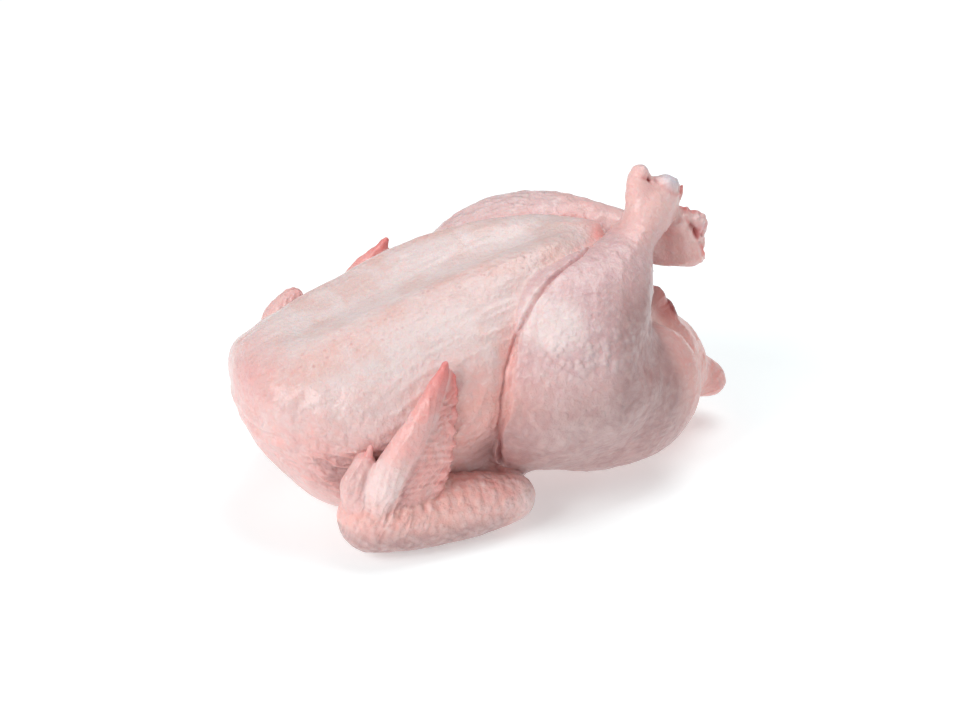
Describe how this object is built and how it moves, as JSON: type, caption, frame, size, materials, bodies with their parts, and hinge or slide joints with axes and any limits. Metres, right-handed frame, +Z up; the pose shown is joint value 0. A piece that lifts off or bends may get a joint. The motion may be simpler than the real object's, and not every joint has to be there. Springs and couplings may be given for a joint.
{
  "type": "whole raw chicken",
  "caption": "Whole raw dressed chicken resting on its back, breast up, wings folded beside the body and drumsticks drawn up over the tail.",
  "frame": {"origin": "centre of the bounding box at its base, on the board under the bird's back", "axes": "+X from the neck to the tail along the keel, +Y to the bird's left side, +Z up through the breast"},
  "size_m": [0.2924, 0.1802, 0.1658],
  "materials": {
    "skin": "moist satin raw skin"
  },
  "bodies": {
    "root": {"whole_chicken": "skin"}
  },
  "joints": []
}
